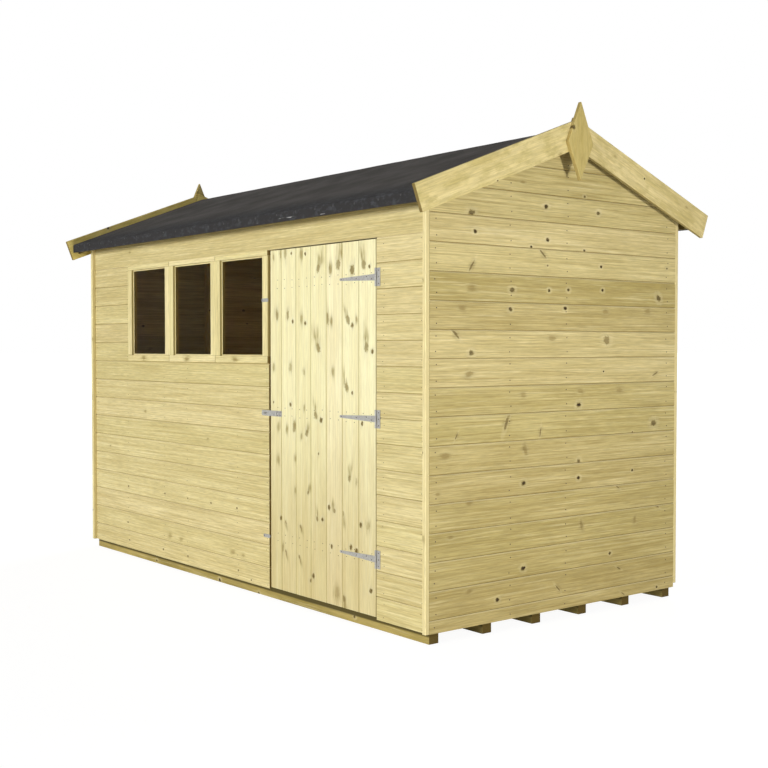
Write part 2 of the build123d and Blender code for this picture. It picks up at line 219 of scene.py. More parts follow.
def newMaterial(name):
    material = bpy.data.materials.new(name)
    material.use_nodes = True
    bench["tree"] = material.node_tree
    return material, material.node_tree.nodes["Principled BSDF"]


softwoodFigure = {  # sizes of the patterns, along the grain and across it twice
    "fine": (40.0, 160.0, 160.0), "bend": (16.0, 45.0, 45.0), "warp": (1.1, 5.0, 5.0),
    "feather": (12.0, 170.0, 170.0), "fibre": (14.0, 230.0, 230.0), "streak": (2.4, 120.0, 120.0),
    "blotch": (2.2, 16.0, 16.0), "ruffle": 90.0, "ruffleDepth": 1.7, "flow": 0.85, "flowReach": 0.28,
}


def makeSoftwoodGroup():
    group = bpy.data.node_groups.new("softwood_figure", "ShaderNodeTree")
    bench["tree"] = group
    inputs = {"Place": (0, 0, 0), "Knot": (10, 10, 0.01), "Heart": (50, 50, 0), "Tail": (9, 9, 0),
              "Ring gap": 0.007, "Wander": 0.02}
    for label, value in inputs.items():
        kind = "NodeSocketVector" if isinstance(value, tuple) else "NodeSocketFloat"
        group.interface.new_socket(label, in_out="INPUT", socket_type=kind).default_value = value
    given = group.nodes.new("NodeGroupInput").outputs
    place, sizes = given["Place"], softwoodFigure
    lengthwise, v, w = splitVector(place)
    knotU, knotV, size = splitVector(given["Knot"])
    long, short, dark = splitVector(given["Heart"])
    tailLong, tailShort, stain = splitVector(given["Tail"])

    def figure(name, *settings, along=place):
        return noise(along, sizes[name], *settings)

    def uneven(name, *settings):  # the same about a middle of nothing
        return calc("SUBTRACT", figure(name, *settings), 0.5)

    def squares(a, b, share=1.0):  # share a² + b²
        return calc("MULTIPLY_ADD", times(a, a), share, times(b, b))

    radius = calc("ADD", calc("SQRT", squares(long, short)), times(uneven("ruffle"), sizes["ruffleDepth"]))
    apart = squares(calc("DIVIDE", knotU, size), calc("DIVIDE", knotV, size), 0.35)
    near = calc("EXPONENT", times(apart, -sizes["flowReach"]))
    pushed = calc("SUBTRACT", v, times(knotV, near, sizes["flow"]))  # the grain flows round a knot
    combed = newNode("CombineXYZ", {0: lengthwise, 1: pushed, 2: w}).outputs[0]
    across = calc("ADD", calc("SQRT", squares(pushed, w)), times(uneven("warp"), given["Wander"]))
    phase = calc("FRACT", calc("DIVIDE", across, given["Ring gap"]))
    wavy = calc("ADD", tailShort, times(uneven("bend", 1.0), 2.2))
    spread = calc("EXPONENT", times(squares(tailLong, wavy), -1.6))
    made = {
        "Rings": times(remap(phase, 0.45, 0.9), remap(phase, 1.0, 0.9)),
        "Fibre": figure("fibre", 3.0, 0.6),
        "Streak": figure("streak", 3.0, 0.65, along=combed),
        "Blotch": figure("blotch"),
        "Heart": remap(radius, 1.05, 0.78),
        "Dark": times(dark, remap(figure("fine"), 0.25, 0.6, 0.75, 1.0)),
        "Rim": times(remap(radius, 0.55, 0.95), remap(radius, 1.5, 1.05)),
        "Halo": times(remap(radius, 3.4, 1.3), remap(radius, 0.9, 1.4)),
        "Stain": times(spread, stain, remap(figure("feather"), 0.32, 0.6, 0.2, 1.0)),
    }
    for label in made:
        group.interface.new_socket(label, in_out="OUTPUT", socket_type="NodeSocketFloat")
    feed(group.nodes.new("NodeGroupOutput"), made)
    return group


softwoodGroup = makeSoftwoodGroup()


def softwood(name, looks):  # pressure-treated softwood, sawn or planed
    material, shader = newMaterial(name + "_softwood")
    place = attribute("grainPlace")
    out = newNode("Group", {
        "Place": place, "Knot": attribute("knotPlace"), "Heart": attribute("knotHeart"),
        "Tail": attribute("knotTail"), "Ring gap": looks["ringGap"], "Wander": looks["wander"],
    }, node_tree=softwoodGroup).outputs
    tone, green = splitVector(attribute("boardTone"))[0:2]
    end, chamferShading, side = splitVector(attribute("faceKind"))
    depth, height = splitVector(objectPlace())[1:3]

    def laid(colour, *coats):  # where, how much and which colour
        for mask, share, over in coats:
            colour = mixed(times(mask, looks[share]), colour, looks[over])
        return colour

    def tinted(colour, tint):
        return mixed(1.0, colour, tint, "MULTIPLY")

    patches = times(remap(out["Blotch"], 0.3, 0.7), looks["blotch"])
    colour = mixed(calc("MULTIPLY_ADD", tone, looks["boardSpread"], patches), looks["pale"], looks["deep"])
    if "mottle" in looks:  # cloudy patches, hardly longer than they are wide
        cloud = remap(noise(place, looks["mottleSize"], 4.0, 0.65), 0.42, 0.66)
        colour = laid(colour, (cloud, "mottle", "deep"))
    colour = mixed(times(green, looks["green"]), colour, tinted(colour, looks["greenTint"]))
    colour = laid(
        colour,
        (out["Rings"], "ringDepth", "ring"),
        (remap(out["Streak"], 0.50, 0.64), "streak", "ring"),
        (remap(out["Streak"], 0.45, 0.32), "lightLine", "bright"))
    darkest, palest = (1.0 - looks["fibre"],) * 3, (1.0 + looks["fibre"],) * 3
    colour = laid(
        tinted(colour, mixed(remap(out["Fibre"], 0.3, 0.7), darkest, palest)),
        (times(out["Halo"], calc("MULTIPLY_ADD", out["Dark"], 0.85, 0.15)), "halo", "bright"),
        (out["Stain"], "stainDepth", "stain"),
        (times(out["Rim"], out["Dark"]), "rimDepth", "stain"))
    heart = mixed(out["Dark"], looks["sound"], looks["knot"])
    colour = mixed(times(out["Heart"], calc("MULTIPLY_ADD", out["Dark"], 0.65, 0.35)), colour, heart)
    if "foot" in looks:  # darker towards the bottom
        lowZ, highZ, tint = looks["foot"]
        colour = mixed(remap(height, highZ, lowZ), colour, tinted(colour, tint))
    if "cladShadeBand" in looks:  # painted shade under the cladding and under the floor
        colour = mixed(remap(height, *looks["cladShadeBand"], 0.0, 0.94), colour, looks["underShade"])
        colour = mixed(remap(depth, *looks["inward"], 0.0, 0.6), colour, looks["underShade"])
    # Chamfers facing one way get a painted highlight in the bright colour, the other way a painted shade in
    # the stain colour; litEdge picks the way
    shaded, lit = (calc("MAXIMUM", times(chamferShading, sign * looks["litEdge"]), 0.0) for sign in (-1, 1))
    # The side colour on the thickness faces is painted shade.
    colour = laid(
        colour,
        (shaded, "chamferShading", "stain"),
        (lit, "edgeLight", "bright"),
        (side, "sideShade", "side"),
        (end, "endDepth", "end"))
    grain = calc("MULTIPLY_ADD", out["Rings"], 0.35, times(out["Fibre"], 0.5))
    grain = calc("SUBTRACT", grain, times(out["Heart"], out["Dark"]))
    feed(shader, {
        "Base Color": colour, "Normal": bumped(grain, looks["sawn"]), "Specular IOR Level": 0.25,
        "Roughness": remap(out["Fibre"], 0.2, 0.8, looks["rough"] - 0.1, looks["rough"] + 0.08)})
    return material


wallLooks = {
    "pale": (0.74, 0.63, 0.33), "deep": (0.55, 0.45, 0.20), "ring": (0.45, 0.345, 0.13),
    "bright": (0.88, 0.78, 0.46), "stain": (0.30, 0.225, 0.06), "sound": (0.33, 0.24, 0.09),
    "knot": (0.035, 0.02, 0.006), "end": (0.20, 0.13, 0.03), "side": (0.40, 0.32, 0.12), "ringGap": 0.006,
    "wander": 0.012, "boardSpread": 0.42, "blotch": 0.36, "ringDepth": 0.34, "streak": 0.42,
    "lightLine": 0.32, "green": 0.4, "greenTint": (0.92, 0.97, 0.80), "fibre": 0.12, "halo": 0.36,
    "stainDepth": 0.95, "chamferShading": 0.75, "litEdge": 1, "edgeLight": 0.5, "sideShade": 0.0, "rough": 0.78,
    "sawn": 0.0008, "rimDepth": 0.7, "endDepth": 0.9,
}
gableLooks = {
    **wallLooks, "pale": (0.64, 0.53, 0.255), "deep": (0.38, 0.295, 0.10), "ring": (0.32, 0.235, 0.07),
    "bright": (0.80, 0.71, 0.42), "stain": (0.22, 0.16, 0.045), "boardSpread": 0.62, "blotch": 0.30,
    "ringDepth": 0.30, "streak": 0.42, "foot": (0.1, 1.15, (0.88, 0.86, 0.80)),
}
doorLooks = {
    **wallLooks, "pale": (0.94, 0.88, 0.57), "deep": (0.81, 0.72, 0.42), "ring": (0.68, 0.56, 0.29),
    "bright": (0.99, 0.96, 0.72), "stain": (0.33, 0.265, 0.085), "knot": (0.16, 0.115, 0.032),
    "sound": (0.40, 0.32, 0.13), "boardSpread": 0.35, "blotch": 0.55, "ringDepth": 0.24, "streak": 0.26,
    "fibre": 0.07, "chamferShading": 0.45, "litEdge": -1, "edgeLight": 0.85, "stainDepth": 1.0,
    "foot": (0.15, 1.1, (0.75, 0.69, 0.60)),
}
# Frames, corner strips, barge boards and finials take the side colour on their thickness faces as painted
# shade.
trimLooks = {
    **wallLooks, "pale": (0.84, 0.73, 0.40), "deep": (0.69, 0.58, 0.28), "ringDepth": 0.25,
    "streak": 0.28, "chamferShading": 0.0, "edgeLight": 0.0, "sideShade": 0.75, "side": (0.36, 0.28, 0.09),
}
stripLooks = {**trimLooks, "side": (0.64, 0.53, 0.25)}
bargeLooks = {
    **trimLooks, "pale": (0.75, 0.62, 0.31), "deep": (0.49, 0.39, 0.145), "blotch": 0.45, "mottle": 0.75,
    "ringDepth": 0.16, "streak": 0.12, "lightLine": 0.12, "ringGap": 0.011, "wander": 0.05,
    "end": (0.15, 0.10, 0.02), "side": (0.20, 0.155, 0.05), "mottleSize": (11.0, 26.0, 26.0),
}
# A paler, more saturated copy of the barge wood for the left barge boards, as painted light where the roof
# keeps the lamps off them.
litLeftBargeLooks = {**bargeLooks, "pale": (0.82, 0.65, 0.23), "deep": (0.60, 0.46, 0.12)}
finialLooks = {
    **bargeLooks, "pale": (0.60, 0.48, 0.19), "deep": (0.42, 0.32, 0.10), "bright": (0.7, 0.58, 0.27),
}
# The bearers darken under the cladding and towards the inside as painted shade.
bearerLooks = {
    **wallLooks, "pale": (0.47, 0.365, 0.115), "deep": (0.22, 0.165, 0.03), "end": (0.075, 0.045, 0.003),
    "blotch": 0.7, "cladShadeBand": (0.026, 0.034), "inward": (-0.76, -0.7), "underShade": (0.06, 0.045, 0.008),
    "chamferShading": 0.0, "edgeLight": 0.0,
}
framingLooks = {**wallLooks, "pale": (0.64, 0.52, 0.25), "deep": (0.50, 0.39, 0.16), "chamferShading": 0.3}
# The verge battens are coloured near black as painted shade under the barge boards.
vergeShadeLooks = {
    **framingLooks, "pale": (0.17, 0.13, 0.045), "deep": (0.10, 0.075, 0.022),
    "bright": (0.2, 0.16, 0.06), "ring": (0.09, 0.07, 0.02), "end": (0.06, 0.04, 0.01),
}

wallWood = softwood("wall", wallLooks)
gableWood = softwood("gable", gableLooks)
doorWood = softwood("door", doorLooks)
trimWood = softwood("trim", trimLooks)
stripWood = softwood("strip", stripLooks)
bargeWood = softwood("barge", bargeLooks)
litLeftBargeWood = softwood("left_barge", litLeftBargeLooks)
finialWood = softwood("finial", finialLooks)
bearerWood = softwood("bearer", bearerLooks)
framingWood = softwood("framing", framingLooks)
vergeShadeWood = softwood("verge", vergeShadeLooks)

metalLooks = {
    "pale": (0.47, 0.46, 0.425), "dull": (0.285, 0.28, 0.265), "spangle": 160.0, "rough": 0.45,
    "metal": 0.35, "cloud": 45.0,
}


def galvanisedSteel():
    material, shader = newMaterial("galvanised_steel")
    here, looks = objectPlace(), metalLooks
    cloud = noise(here, looks["cloud"], 3.0)
    dull = calc("MULTIPLY_ADD", cells(here, looks["spangle"]), 0.45, times(cloud, 0.6))
    feed(shader, {
        "Base Color": mixed(dull, looks["pale"], looks["dull"]), "Metallic": looks["metal"],
        "Roughness": remap(dull, 0.2, 0.9, looks["rough"] - 0.08, looks["rough"] + 0.18),
        "Normal": bumped(cloud, 0.0003)})
    return material


nailLooks = {"clean": (0.05, 0.045, 0.04), "rust": (0.11, 0.06, 0.025), "size": 300.0}
cloutLooks = {**nailLooks, "clean": (0.045, 0.045, 0.046), "rust": (0.06, 0.058, 0.056)}


def nailSteel(name, looks):
    material, shader = newMaterial(name)
    rust = remap(noise(objectPlace(), looks["size"]), 0.35, 0.7)
    feed(shader, {
        "Base Color": mixed(rust, looks["clean"], looks["rust"]), "Metallic": 0.4,
        "Roughness": remap(rust, 0.0, 1.0, 0.5, 0.8)})
    return material


feltLooks = {
    "dark": (0.068, 0.062, 0.056), "light": (0.098, 0.090, 0.082), "fold": (0.036, 0.034, 0.033),
    "worn": (0.105, 0.110, 0.122), "paleGlint": (0.52, 0.52, 0.50), "grit": 900.0, "mottle": 5.0,
    "blue": (24.0, 36.0, 36.0), "flecks": (11.0, 130.0, 130.0), "eave": (0.60, 0.86),
    "glintLow": (1.744, 1.748), "glintHigh": (1.758, 1.753), "glintOut": (0.852, 0.858),
    "glintAlong": (0.1, 0.7),
}


def mineralFelt():
    material, shader = newMaterial("mineral_felt")
    here, looks = objectPlace(), feltLooks
    x, y, z = splitVector(here)
    speck = cells(here, looks["grit"])
    mottle = noise(here, looks["mottle"], 4.0, 0.6)
    blue = noise(here, looks["blue"], 4.0, 0.7)
    fromRidge = calc("ABSOLUTE", y)
    nearEave = remap(fromRidge, *looks["eave"])
    flecks = remap(noise(here, looks["flecks"]), 0.66, 0.72)
    # Pale flecks along the lower edge of the turn-down at the eaves are painted glints.
    glintBand = times(remap(z, *looks["glintLow"]), remap(z, *looks["glintHigh"]),
                    remap(fromRidge, *looks["glintOut"]), remap(x, *looks["glintAlong"]))
    colour = mixed(remap(mottle, 0.3, 0.72), looks["dark"], looks["light"])
    for mask, over in (
            (nearEave, "fold"),
            (times(remap(blue, 0.48, 0.68), nearEave, 0.42), "worn"),
            (times(speck, 0.12), "worn"),
            (times(flecks, glintBand), "paleGlint")):
        colour = mixed(mask, colour, looks[over])
    height = calc("MULTIPLY_ADD", speck, 0.35, mottle)
    height = calc("ADD", height, times(blue, nearEave, 1.2))
    feed(shader, {
        "Base Color": colour, "Roughness": remap(mottle, 0.2, 0.8, 0.95, 0.8),
        "Normal": bumped(height, 0.0014), "Specular IOR Level": 0.06})
    return material


glassLooks = {"clear": (0.93, 0.84, 0.66), "smeared": (0.84, 0.74, 0.54), "smear": (6.0, 6.0, 2.0)}


def windowGlass():
    material, shader = newMaterial("window_glass")
    smear = noise(objectPlace(), glassLooks["smear"], 3.0)
    feed(shader, {
        "Base Color": mixed(smear, glassLooks["clear"], glassLooks["smeared"]),
        "Roughness": remap(smear, 0.3, 0.8, 0.0, 0.05), "Transmission Weight": 1.0, "IOR": 1.06})
    return material


steel = galvanisedSteel()
nailFinish = nailSteel("nail_steel", nailLooks)
cloutFinish = nailSteel("clout_steel", cloutLooks)
feltFinish = mineralFelt()
glassFinish = windowGlass()
print("materials ready")

knotKinds = {  # how dark, how long, lean in degrees; the stain's length, width, offset and strength
    "dead": (1.0, 1.2, 0, 3.3, 2.1, 0.0, 0.5),
    "live": (0.8, 1.35, 0, 4.2, 2.0, 0.0, 0.5),
    "sound": (0.5, 1.15, -35, 2.4, 1.7, 0.0, 0.3),
    "ghost": (0.05, 1.9, 0, 4.0, 2.3, 0.0, 0.65),
    "spike": (0.65, 5.2, 60, 8.5, 3.6, 0.15, 0.75),
    "smudge": (0.2, 2.2, 0, 4.8, 2.1, 0.0, 0.95),
    "streak": (0.5, 2.4, 0, 5.2, 2.2, 0.2, 0.95),
    "comet": (0.6, 1.5, -18, 6.0, 2.5, 0.55, 0.95),
    "tail": (0.55, 1.4, -18, 5.8, 2.2, -0.5, 0.9),
}
timber = {
    "pithDepth": (0.03, 0.09), "pithSide": 0.03, "apart": (0.10, 0.03),
    "chanceKinds": ("dead", "live", "ghost"), "chanceSizes": (0.003, 0.008),
    "wallKnots": 1.2, "doorKnots": 1.35,
}
farKnot = (10.0, 10.0, 0.01, 50.0, 50.0, 0.0, 9.0, 9.0, 0.0)


def ownAxes(obj, along=None, face=None):  # the way the grain runs, and the way across the widest face
    mesh = obj.data
    if along is None:
        ends = lambda e: mesh.vertices[e.vertices[1]].co - mesh.vertices[e.vertices[0]].co
        along = max((ends(e) for e in mesh.edges), key=lambda run: run.length)
    along = Vector(along).normalized()
    if face is None:
        sides = [p for p in mesh.polygons if abs(p.normal.dot(along)) < 0.1]
        face = max(sides, key=lambda p: p.area).normal.copy()
    return along, Vector(face).cross(along).normalized()


def knotTree(knots):  # the knots of a board, parted where the gaps between them are widest
    if len(knots) < 2:
        return knots[0] if knots else None
    widest = (0,)
    for way, reach in enumerate(timber["apart"]):
        order = sorted(knots, key=lambda k: k[way])
        for i in range(1, len(order)):
            gap = (order[i][way] - order[i - 1][way]) / reach
            if gap >= widest[0]:
                widest = (gap, way, (order[i][way] + order[i - 1][way]) / 2, order[:i], order[i:])
    way, cut, lower, upper = widest[1:]
    return {"way": way, "cut": cut, "lower": knotTree(lower), "upper": knotTree(upper)}


def cutForKnots(obj, tree, ways, limits):  # each knot gets its own length of the board
    if not isinstance(tree, dict):
        return
    way, cut = tree["way"], tree["cut"]
    inside = lambda c, n: all(low < c.dot(axis) < high for axis, (low, high) in zip(ways, limits))
    pick(obj, "faces", inside)
    bpy.ops.mesh.bisect(plane_co=ways[way] * cut, plane_no=ways[way])
    for branch, limit in (("lower", (limits[way][0], cut)), ("upper", (cut, limits[way][1]))):
        cutForKnots(obj, tree[branch], ways, [limit if i == way else limits[i] for i in (0, 1)])


def nearestKnot(tree, u, v):  # and how far its own length and width of the board run
    bounds = [[-9.0, 9.0], [-9.0, 9.0]]
    while isinstance(tree, dict):
        below = int((u, v)[tree["way"]] < tree["cut"])
        bounds[tree["way"]][below] = tree["cut"]
        tree = tree["lower" if below else "upper"]
    return tree, bounds


def turnedBy(du, dv, degrees):
    angle = math.radians(degrees)
    return du * math.cos(angle) + dv * math.sin(angle), dv * math.cos(angle) - du * math.sin(angle)


def markGrain(obj, along, across, knots=(), tone=None):
    along, across = Vector(along), Vector(across)
    depth = along.cross(across)
    tree = knotTree(list(knots))
    if isinstance(tree, dict):
        openUp(obj)
        cutForKnots(obj, tree, (along, across), [(-99, 99), (-99, 99)])
        closeUp()
    mesh = obj.data
    spots = np.empty(len(mesh.vertices) * 3)
    mesh.vertices.foreach_get("co", spots)
    corner = np.empty(len(mesh.loops), dtype=np.int32)
    mesh.loops.foreach_get("vertex_index", corner)
    turned = spots.reshape(-1, 3)[corner] @ np.array([along, across, depth]).T
    middle = (turned.min(0) + turned.max(0)) / 2
    grain = turned.copy()
    grain[:, 0] += chance.uniform(0, 40)
    grain[:, 1] += chance.uniform(-1, 1) * timber["pithSide"] - middle[1]
    grain[:, 2] += chance.uniform(*timber["pithDepth"]) - middle[2]
    tones = np.zeros((len(corner), 3))
    tones[:, 0] = chance.random() if tone is None else tone
    tones[:, 1] = chance.random()
    kinds = np.zeros((len(corner), 3))
    knotLayers = np.tile(np.array(farKnot), (len(corner), 1))
    for face in mesh.polygons:
        span = slice(face.loop_start, face.loop_start + face.loop_total)
        end, flat = abs(face.normal.dot(along)), abs(face.normal.dot(depth))
        # bent gives each chamfer the way it faces, for the painted chamfer highlight and shade
        bent = math.copysign(0.3 < flat < 0.95 and end < 0.3, face.normal.dot(across))
        kinds[span] = (min(1.0, max(0.0, (end - 0.25) / 0.35)), bent, flat < 0.3 and end < 0.3)
        u, v = turned[span, 0], turned[span, 1]
        knot, (lengthwise, sideways) = nearestKnot(tree, u.mean(), v.mean())
        if knot:
            dark, long, lean, tailLong, tailWide, shift, stain = knotKinds[knot[3]]
            lean = knot[4] if len(knot) > 4 else lean
            size = knot[2]
            du, dv = u - knot[0], v - knot[1]
            p, q = turnedBy(du, dv, lean)
            ahead, behind = lengthwise[1] - knot[0], knot[0] - lengthwise[0]
            room = min(ahead / (1.25 + shift), behind / (1.25 - shift))
            beside = min(sideways[1] - knot[1], knot[1] - sideways[0])
            longReach = max(min(size * tailLong, room), size * 1.5)
            wideReach = max(min(size * tailWide, beside), size * 1.2)
            tail = (p / longReach - shift, q / wideReach, stain)
            values = (du, dv, size, p / size / long, q / size, dark, *tail)
            for column, value in enumerate(values):
                knotLayers[span, column] = value
    layers = {"grainPlace": grain, "boardTone": tones, "faceKind": kinds, "knotPlace": knotLayers[:, 0:3],
              "knotHeart": knotLayers[:, 3:6], "knotTail": knotLayers[:, 6:9]}
    for label, values in layers.items():
        layer = mesh.attributes.new(label, "FLOAT_VECTOR", "CORNER")
        layer.data.foreach_set("vector", np.ascontiguousarray(values, dtype=np.float32).ravel())


def chanceKnots(obj, along, across, spacing):
    turned = [(v.co.dot(along), v.co.dot(across)) for v in obj.data.vertices]
    low, high = min(turned)[0], max(turned)[0]
    left, right = min(t[1] for t in turned), max(t[1] for t in turned)
    knots = []
    u = low + chance.uniform(0.2, 1.0) * spacing
    while u < high:
        kind = chance.choice(timber["chanceKinds"])
        knots.append((u, chance.uniform(left, right), chance.uniform(*timber["chanceSizes"]), kind))
        u += chance.uniform(0.45, 1.5) * spacing
    return knots


def dressTimber(node, name, finish, body="shed", along=None, face=None, arris=0.0016, spacing=0.6,
                tone=None):  # a sawn or planed copy of each stick in a node
    takeUp()
    copied = bpy.data.objects.new(name, frame["nodes"][node].data.copy())
    bpy.context.collection.objects.link(copied)
    openUp(copied, "VERT")
    bpy.ops.mesh.select_all(action="SELECT")
    bpy.ops.mesh.remove_doubles(threshold=0.00001)
    bpy.ops.mesh.dissolve_limited(angle_limit=math.radians(0.5))
    bpy.ops.mesh.separate(type="LOOSE")
    closeUp()
    middle = lambda part: sum((v.co for v in part.data.vertices), Vector())
    parts = sorted(bpy.context.selected_objects, key=lambda part: tuple(round(c, 3) for c in middle(part)))
    for part in parts:
        grain, across = ownAxes(part, along, face)
        softenArris(part, arris)
        markGrain(part, grain, across, chanceKnots(part, grain, across, spacing), tone)
    fitTo(parts, name, body, node, finish)


boarding = {
    "thick": 0.012, "vee": 0.003, "tongue": 0.006, "gap": 0.001, "frontCover": 0.1067,
    "frontDrop": 0.0095, "gableCover": 0.1154, "gableFirst": 0.098, "doorCover": 0.1180,
    "floorCover": 0.115, "roofCover": 0.1155, "tongueShares": (0.4, 0.75), "floorKnots": 0.5,
    "roofKnots": 0.8,
}


def sawBoard(length, cover):  # tongued and grooved, lying along X, its face towards -Y
    thick, high, gap = boarding["thick"], cover - boarding["gap"], boarding["gap"]
    tongueFrom, tongueTo = (thick * share for share in boarding["tongueShares"])
    board = block("board", (0, 0, 0), (length, thick, high))
    openUp(board)
    cutAcross((0, tongueFrom, 0), (0, 1, 0))
    cutAcross((0, tongueTo, 0), (0, 1, 0))
    inMiddle = lambda c: tongueFrom < c.y < tongueTo
    pick(board, "faces", lambda c, n: n.z > 0.9 and inMiddle(c))
    pullOut(0, 0, boarding["tongue"])
    pick(board, "faces", lambda c, n: n.z < -0.9 and inMiddle(c))
    pullOut(0, 0, boarding["tongue"] + gap)
    bpy.ops.mesh.select_mode(type="EDGE")
    pick(board, "edges", lambda c, d: abs(d.x) > 0.9 and c.y < 0.0001)
    bpy.ops.mesh.bevel(offset=boarding["vee"], segments=1, affect="EDGES")
    closeUp()
    return board


def cutBoard(board, *cuts):
    openUp(board)
    for point, normal in cuts:
        cutAcross(point, normal, True)
    closeUp()


def layBoards(length, cover, places, *cuts):  # a board at each place, cut off at the planes
    pattern = sawBoard(length, cover)
    boards = []
    for matrix in places:
        board = another(pattern)
        board.data.transform(matrix)
        cutBoard(board, *cuts)
        boards.append(board)
    bpy.data.objects.remove(pattern)
    return boards


facingFront = Matrix.Identity(4)
facingBack = Matrix.Rotation(math.pi, 4, "Z")
facingRight = Matrix.Rotation(math.pi / 2, 4, "Z")
facingLeft = Matrix.Rotation(-math.pi / 2, 4, "Z")
upright = Matrix.Rotation(-math.pi / 2, 4, "Y")
flat = Matrix.Rotation(math.pi / 2, 4, "Z") @ Matrix.Rotation(-math.pi / 2, 4, "X")
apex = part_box("left_gable")[1].z
backLow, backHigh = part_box("back_wall")
slope = (apex - backHigh.z) / backLow.y  # the back wall is highest at its inner face
gableRule = (boarding["gableCover"], boarding["gableFirst"])  # the joints fall at the second + n * the first
frontRule = (boarding["frontCover"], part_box("front_wall_below_windows")[0].z - boarding["frontDrop"])


def courses(node, cover, first):  # the heights of a wall's joints, from the one at or below its foot
    low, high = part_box(node)
    start = first + math.floor((low.z - first) / cover + 0.001) * cover
    return np.arange(start, high.z - 0.001, cover)


def chosenKnots(table, chosen, upright=False):  # centimetres along and up, radius in millimetres, own lean
    knots = []
    for kind, entries in table.items():
        for entry in entries:
            along, up, radius = entry[0] / 100, entry[1] / 100, entry[2] / 1000
            if chosen(along, up):
                grown = radius * timber["doorKnots" if upright else "wallKnots"]
                spot = (up, along, grown) if upright else (along, up, grown)
                knots.append((*spot, kind, *entry[3:]))
    return knots


def clad(name, node, rule, facing, finish, table=None, tones=None, spacing=0.75):
    cover, first = rule
    low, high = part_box(node)
    a, b = facing.inverted() @ low, facing.inverted() @ high
    x0, x1, y0 = min(a.x, b.x), max(a.x, b.x), min(a.y, b.y)
    along, across = facing.to_3x3() @ Vector((1, 0, 0)), Vector((0, 0, 1))
    pattern = sawBoard(x1 - x0 + 0.01, cover)
    boards = []
    for z in courses(node, *rule):
        board = another(pattern)
        board.data.transform(Matrix.Translation((x0, 0, z)))
        cuts = [((x1, 0, 0), (1, 0, 0))]
        if low.z > z:
            cuts.append(((0, 0, low.z), (0, 0, -1)))
        if high.z < z + cover + boarding["tongue"]:
            cuts.append(((0, 0, high.z), (0, 0, 1)))
        if node.endswith("gable"):
            cuts += [((0, 0, apex), (side * slope, 0, 1)) for side in (-1, 1)]
        cutBoard(board, *cuts)
        board.data.transform(facing @ Matrix.Translation((0, y0, 0)))
        base = min(v.co.z for v in board.data.vertices)
        number = math.floor((base - first) / cover + 0.01)
        if table:
            knots = chosenKnots(table, lambda along, up: number <= (up - first) / cover < number + 1)
        else:
            knots = chanceKnots(board, along, across, spacing)
        tone = tones[(number + 1) % len(tones)] if tones else None
        markGrain(board, along, across, knots, tone)
        boards.append(board)
    bpy.data.objects.remove(pattern)
    fitTo(boards, name, "shed", node, finish)


gableKnots = {  # across the gable from its middle
    "live": ((-54, 172.5, 9), (-10, 153, 3), (-31, 142, 7), (64, 141, 9, -40), (-54, 116, 7),
        (61, 83, 10), (10, 67.5, 8, 90), (13, 184, 4)),
    "dead": ((-52, 165, 6), (-11, 178, 7), (22, 177.5, 6), (-10, 164, 6), (-20, 160.5, 4), (13, 160.5, 4),
        (24, 154, 5), (70, 155, 3), (-9, 142.5, 5), (3, 143, 5), (25, 143.5, 5), (-32, 134, 6),
        (1, 135, 6), (26, 107.5, 3), (10, 93, 8), (10, 61, 6), (-24, 61, 7), (46, 62, 4), (46, 79.5, 3),
        (31, 25.5, 5), (-24, 25, 7), (-39, 13.5, 6), (64, 6, 4)),
    "spike": ((-13, 158, 3.3, -40), (-54, 151, 3.3, 55), (-63, 124, 4, -45), (62, 106, 2.6, 25),
        (-34, 87, 5, 68), (-14, 82, 2.6, 80), (-62, 82.5, 2, 60), (-3, 14, 2.6, -45), (36, 55, 2, -30),
        (64, 44, 2, -30), (37, 18, 2, -25), (40, 6, 2, -30)),
    "ghost": ((-54, 142, 8), (-59, 134, 7), (27, 134, 6), (56, 135, 7), (-7, 122, 8), (-55, 107.5, 8, 20),
        (11, 99, 6), (37, 99, 7), (-24, 98, 6), (-68, 75, 9), (48, 39, 6, 90), (-72, 60, 5), (-55, 55, 6),
        (-65, 42, 5), (-55, 19, 6), (-25, 187, 5)),
    "sound": ((28, 121.5, 13),),
    "smudge": ((-23, 75, 7, -75), (12, 40, 6, -80)),
}
gableTones = (
    0.6, 0.62, 0.55, 0.6, 0.52, 0.6, 0.5, 0.55, 0.62, 0.12, 0.10, 0.72, 1.0, 0.12, 0.08, 0.22, 0.3, 0.5,
)
frontKnots = {  # from the middle of the front
    "live": ((-109, 39.5, 4), (-66, 39.5, 4), (-41, 39.5, 4), (-17, 39.5, 4), (8, 39.5, 4), (-110, 19, 4),
        (-108, 9, 4), (-68, 9, 4), (-41, 9, 4), (9, 9, 4)),
    "ghost": ((-60, 17.5, 8), (-48, 17, 7), (4, 17.5, 8), (14, 17, 6), (-132, 61, 3), (-88, 83, 4),
        (-20, 72, 4)),
    "dead": ((21, 6, 3),),
}
frontTones = (0.5, 0.4, 0.5, 0.35, 0.15, 0.25, 0.15, 0.5, 0.2, 0.6, 0.7, 0.4, 0.3, 0.25, 0.35, 0.3)

clad("front_boards_below_windows", "front_wall_below_windows", frontRule, facingFront, wallWood, frontKnots,
     frontTones)
for spot, tones in (("beside_windows", (1.0, 0.85, 1.0, 0.95)), ("beside_door", frontTones)):
    clad("front_boards_" + spot, "front_wall_" + spot, frontRule, facingFront, wallWood, tones=tones,
         spacing=2.2)
clad("back_boards", "back_wall", gableRule, facingBack, wallWood)
clad("right_gable_boards", "right_gable", gableRule, facingRight, gableWood, gableKnots, gableTones)
clad("left_gable_boards", "left_gable", gableRule, facingLeft, gableWood)
print("walls boarded")

